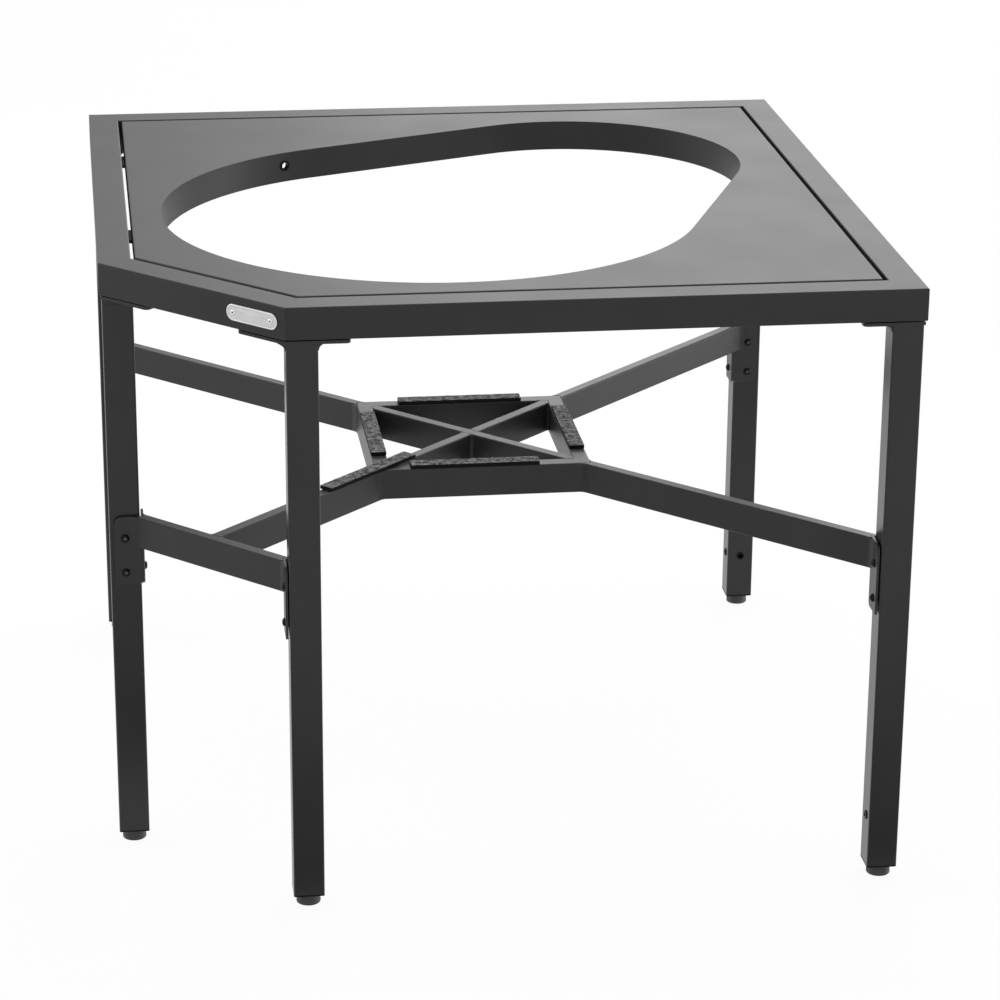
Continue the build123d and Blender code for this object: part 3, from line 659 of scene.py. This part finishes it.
def fibre_gasket(name):
    """Dense black fibre: a fine noise as matted bump, pale patches, and small flecks where the fine noise
    passes a threshold. These show only on faces that look up, as painted light, and the cut sides are
    painted nearly black as painted shade. Rough all over."""
    fibre, tree, shader, place = new_finish(name)
    shader.inputs["Roughness"].default_value = 0.92
    shader.inputs["Specular IOR Level"].default_value = 0.2
    patch = noise(tree, place, scale=120.0, detail=4.0, roughness=0.60)
    dull = two_tone(tree, patch, (0.016, 0.016, 0.016), (0.17, 0.17, 0.167), start=0.38, end=0.62)
    felt = noise(tree, place, scale=260.0, detail=3.0)
    flecked = blended(tree, ranged(tree, felt, start=0.55, end=0.70))
    tree.links.new(dull, flecked.inputs["A"])
    flecked.inputs["B"].default_value = (0.34, 0.34, 0.33, 1)
    facing = tree.nodes.new("ShaderNodeSeparateXYZ")
    normal = tree.nodes.new("ShaderNodeTexCoord").outputs["Normal"]
    tree.links.new(normal, facing.inputs["Vector"])
    # Painted light and shade: faces that look up show the patches and flecks, the sides turn nearly black.
    painted_top_light_side_shade = blended(tree, ranged(tree, facing.outputs["Z"], start=0.45, end=0.90))
    painted_top_light_side_shade.inputs["A"].default_value = (0.006, 0.006, 0.006, 1)
    tree.links.new(flecked.outputs["Result"], painted_top_light_side_shade.inputs["B"])
    bump = relief(tree, felt, strength=0.8, depth=0.0004)
    tree.links.new(painted_top_light_side_shade.outputs["Result"], shader.inputs["Base Color"])
    tree.links.new(bump, shader.inputs["Normal"])
    return fibre


pad_fibre = fibre_gasket("fibre_gasket")
for seed, (node, way) in enumerate(PAD_WAYS.items()):
    pad_low, pad_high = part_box(node)
    pad_middle = (pad_low + pad_high) / 2
    sideways = (-way[1], way[0], 0.0)
    axes = np.array([way, sideways, (0.0, 0.0, 1.0)])
    strip = gasket_strip(seed) @ axes + (pad_middle.x, pad_middle.y, pad_low.z)
    strip_mesh = surface(node.replace("pad", "fibre_pad"), strip[None], crease=50)
    pad = piece(strip_mesh, pad_fibre, "frame")
    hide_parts(node)


# Bolts and rivet nuts. Black button-head bolts with a hexagon socket clamp the brackets to the legs and
# the leg plates to the rails; a thin cup of paler metal in each socket paints a glint there. Each screws
# into a rivet nut in the tube wall, and six more of these nuts are spare.
HEAD_RADIUS = 0.00525
HEAD_HEIGHT = 0.0033
SHANK_RADIUS = 0.0029
SHANK_LENGTH = 0.012
SHANK_TIP = 0.002465
SHANK_CHAMFER = 0.0006
SOCKET_HALF = 0.0020
BOLT_STEPS = 48
BOLT_CREASE = 30
BOLT_DROPS = (0.028, 0.073)
PLATE_BOLT_REACH = 0.058


def hexagon_socket():
    """Angles round Z and the radius of a hexagon at each: its half width over the cosine of the angle from
    the nearest flat."""
    turn = full_turn(BOLT_STEPS)
    flat_angle = (turn + math.pi / 6) % (math.pi / 3) - math.pi / 6
    return turn, SOCKET_HALF / np.cos(flat_angle)


def button_bolt():
    """Button-head bolt on Z, its head's flat on zero. Round it goes a circle, and the profile rises from
    the shank's end over the head's rim and crown; inside the crown the radius becomes a share of a
    hexagon's, down to the floor of the socket."""
    turn, hexagon = hexagon_socket()
    profile = np.array([
        (0.0, -SHANK_LENGTH),
        (SHANK_TIP, -SHANK_LENGTH),
        (SHANK_RADIUS, -SHANK_LENGTH + SHANK_CHAMFER),
        (SHANK_RADIUS, 0.0),
        (HEAD_RADIUS, 0.0),
        (HEAD_RADIUS, 0.0008),
        (0.0051, 0.0012),
        (0.0047, 0.0018),
        (0.0041, 0.0025),
        (0.0034, 0.0030),
        (0.0028, HEAD_HEIGHT),
        (0.0026, HEAD_HEIGHT),
    ])
    socket = np.array([
        (1.06, 0.00325),
        (1.0, 0.0029),
        (1.0, 0.0014),
        (0.0, 0.0011),
    ])
    radius = np.concatenate([profile[:, :1] * np.ones(BOLT_STEPS), socket[:, :1] * hexagon])
    rise = np.concatenate([profile[:, 1:], socket[:, 1:]])
    return rings(radius, rise, turn)


def socket_lining():
    """Thin cup that lines a bolt's socket: each row gives a share of the hexagon's radius and a height,
    from the middle of its floor up the inside and down the outside."""
    turn, hexagon = hexagon_socket()
    cup = np.array([
        (0.0, 0.00130),
        (0.95, 0.00160),
        (0.95, 0.00275),
        (1.0, 0.00275),
        (1.0, 0.00130),
        (0.0, 0.00100),
    ])
    return rings(cup[:, :1] * hexagon, cup[:, 1:], turn)


bolt_shape = button_bolt()
bracket_seats = []
bracket_facing = []
for corner in CORNERS:
    bend, away = bracket_bend(corner)
    bracket_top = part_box(f"corner_bracket_{corner}")[1].z
    leg_low, leg_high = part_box(f"leg_{corner}")
    leg_middle = (leg_low + leg_high) / 2
    for drop in BOLT_DROPS:
        level = bracket_top - drop
        bracket_seats += [(bend[0], leg_middle.y, level), (leg_middle.x, bend[1], level)]
        bracket_facing += [(away[0], 0, 0), (0, away[1], 0)]
bolt_mesh = surface("button_bolts", seated(bolt_shape, bracket_seats, bracket_facing), BOLT_CREASE)
button_bolts = piece(bolt_mesh, bolt_black, "frame")
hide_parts("bracket_bolts")

# The plate bolts stand under the middle of the rails, at the same reach from both ends of each rail.
side_half = SIDE / 2
rim_outline = np.array([
    (-side_half, side_half),
    (-side_half, CHAMFER - side_half),
    (CHAMFER - side_half, -side_half),
    (side_half, -side_half),
    (side_half, side_half),
])
next_corner = np.roll(rim_outline, -1, axis=0)
rail_way = next_corner - rim_outline
rail_way /= np.linalg.norm(rail_way, axis=1, keepdims=True)
rail_inward = np.stack([-rail_way[:, 1], rail_way[:, 0]], axis=1)
from_start = rim_outline + rail_inward * RAIL / 2 + rail_way * PLATE_BOLT_REACH
from_end = next_corner + rail_inward * RAIL / 2 - rail_way * PLATE_BOLT_REACH
plate_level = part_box("plate_bolts")[0].z + HEAD_HEIGHT
plate_points = np.concatenate([from_start, from_end])
plate_seats = np.pad(plate_points, ((0, 0), (0, 1)), constant_values=plate_level)
plate_facing = [(0, 0, -1)] * len(plate_seats)
plate_bolt_mesh = surface("plate_button_bolts", seated(bolt_shape, plate_seats, plate_facing), BOLT_CREASE)
plate_button_bolts = piece(plate_bolt_mesh, bolt_black, "frame")
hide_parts("plate_bolts")

# The socket linings are a paler metal that paints a glint inside each bolt's socket.
socket_glint_steel = blackened_steel("socket_glint_steel", dark=0.06, pale=0.12, metallic=1.0)
lining_seats = np.concatenate([bracket_seats, plate_seats])
lining_facing = bracket_facing + plate_facing
lining_mesh = surface("socket_glint_linings", seated(socket_lining(), lining_seats, lining_facing), BOLT_CREASE)
piece(lining_mesh, socket_glint_steel, "frame")
finish_nodes(bolt_black, "rivet_nuts")


# Stage. A wide white floor, bright to the camera so that the page behind the object is white, which still
# takes the object's soft shadow, and a pale sky all round as the light tent. In reflections the floor
# carries a painted shadow, a dark band just in front of the legs that stands for the object's shadow from
# the light behind.
FLOOR_WIDTH = 60.0
FLOOR_DROP = 0.0002
FLOOR_WHITE = (0.94, 0.94, 0.94, 1)
PAGE_SHARE = 0.93
PAINTED_SHADOW_DEPTH = 2.0
PAINTED_SHADOW_PLACES = (0.325, 0.69, 0.72, 0.765)
PAINTED_SHADOW_LEVELS = (1.0, 0.30, 0.30, 1.0)
SKY_LEVEL = 0.55


def larger(tree, first, second):
    """The larger of two numbers."""
    pick = tree.nodes.new("ShaderNodeMath")
    pick.operation = "MAXIMUM"
    tree.links.new(first, pick.inputs[0])
    tree.links.new(second, pick.inputs[1])
    return pick.outputs["Value"]


def seen_directly(tree, path):
    """One for a ray that comes from the camera, off a gloss or through glass, and nought for the others."""
    seen_or_mirrored = larger(tree, path.outputs["Is Camera Ray"], path.outputs["Is Glossy Ray"])
    return larger(tree, seen_or_mirrored, path.outputs["Is Transmission Ray"])


def page_paint(name):
    """Matt white paint, most of which gives way to a glowing page where it is seen directly. A ramp over
    the depth in front of the object paints a shadow into the page, dimming it except to the camera."""
    paint, tree, matt, place = new_finish(name)
    matt.inputs["Base Color"].default_value = FLOOR_WHITE
    matt.inputs["Roughness"].default_value = 0.9
    matt.inputs["Specular IOR Level"].default_value = 0.0
    path = tree.nodes.new("ShaderNodeLightPath")
    share = ranged(tree, seen_directly(tree, path), high=PAGE_SHARE)
    apart = tree.nodes.new("ShaderNodeSeparateXYZ")
    tree.links.new(place, apart.inputs["Vector"])
    depth = ranged(tree, apart.outputs["Y"], start=-PAINTED_SHADOW_DEPTH, end=0.0)
    # The ramp is a painted shadow: the page seen in reflections is darker in a band just in front of the
    # legs.
    dim = tree.nodes.new("ShaderNodeValToRGB")
    for position in PAINTED_SHADOW_PLACES[1:-1]:
        dim.color_ramp.elements.new(position)
    for element, position, level in zip(dim.color_ramp.elements, PAINTED_SHADOW_PLACES, PAINTED_SHADOW_LEVELS):
        element.position = position
        element.color = (*grey(level), 1)
    tree.links.new(depth, dim.inputs["Fac"])
    strength = larger(tree, path.outputs["Is Camera Ray"], dim.outputs["Color"])
    page = tree.nodes.new("ShaderNodeEmission")
    tree.links.new(strength, page.inputs["Strength"])
    blend = tree.nodes.new("ShaderNodeMixShader")
    tree.links.new(share, blend.inputs["Fac"])
    tree.links.new(matt.outputs["BSDF"], blend.inputs[1])
    tree.links.new(page.outputs["Emission"], blend.inputs[2])
    tree.links.new(blend.outputs["Shader"], tree.nodes["Material Output"].inputs["Surface"])
    return paint


floor_corners = np.array([(-1, -1, 0), (1, -1, 0), (1, 1, 0), (-1, 1, 0)]) * FLOOR_WIDTH / 2
floor_mesh = bpy.data.meshes.new("floor")
floor_mesh.from_pydata((floor_corners - (0, 0, FLOOR_DROP)).tolist(), [], [(0, 1, 2, 3)])
floor_mesh.materials.append(page_paint("floor_paint"))
floor = bpy.data.objects.new("floor", floor_mesh)
bpy.context.scene.collection.objects.link(floor)

world = bpy.data.worlds.new("light_tent")
bpy.context.scene.world = world
world.use_nodes = True
world_tree = world.node_tree
sky = world_tree.nodes["Background"]
sky.inputs["Color"].default_value = (1, 1, 1, 1)
sky_seen = seen_directly(world_tree, world_tree.nodes.new("ShaderNodeLightPath"))
world_tree.links.new(ranged(world_tree, sky_seen, low=SKY_LEVEL), sky.inputs["Strength"])


# Lamps. Wide soft panels overhead, on the left and behind, as in a plain product studio, and a lower one on
# the right that lights the far side of the cut-out's rim and the rear right arm.
def soft_panel(name, place, aim, size, power):
    """Square area lamp with a side in metres and a power in watts, turned to look from its place along the
    line to the point that it is aimed at."""
    lamp = bpy.data.lights.new(name, "AREA")
    lamp.shape = "SQUARE"
    lamp.size = size
    lamp.energy = power
    holder = bpy.data.objects.new(name, lamp)
    bpy.context.scene.collection.objects.link(holder)
    holder.location = place
    holder.rotation_euler = (Vector(aim) - Vector(place)).to_track_quat("-Z", "Y").to_euler()


soft_panel("overhead_panel", place=(0.3, 0.8, 3.6), aim=(0.0, 0.0, 0.4), size=3.0, power=55.0)
soft_panel("left_panel", place=(-3.2, 1.8, 1.6), aim=(0.0, 0.0, 0.4), size=2.2, power=44.0)
soft_panel("rear_panel", place=(2.5, 5.4, 2.95), aim=(0.1, 0.0, 0.7), size=5.0, power=138.0)
soft_panel("right_panel", place=(3.4, 0.3, 0.60), aim=(0.0, 0.0, 0.50), size=1.0, power=35.0)


# Camera. A long lens in front of the object, a little to its left and above it, turned very slightly about
# its own axis, as the photograph was taken.
CAMERA_PLACE = (-0.5100, -4.2006, 1.8918)
CAMERA_LOOK = (0.1220, 0.9315, -0.3426)
CAMERA_ROLL = 0.43
LENS = 121.36
SENSOR = 36.0
FAR_END = 200.0
camera_data = bpy.data.cameras.new("camera")
camera_data.sensor_width = SENSOR
camera_data.lens = LENS
camera_data.clip_end = FAR_END
camera = bpy.data.objects.new("camera", camera_data)
bpy.context.scene.collection.objects.link(camera)
camera.location = CAMERA_PLACE
camera.rotation_euler = Vector(CAMERA_LOOK).to_track_quat("-Z", "Y").to_euler()
camera.rotation_euler.rotate_axis("Z", math.radians(CAMERA_ROLL))
bpy.context.scene.camera = camera

bpy.context.scene.view_settings.view_transform = "Standard"
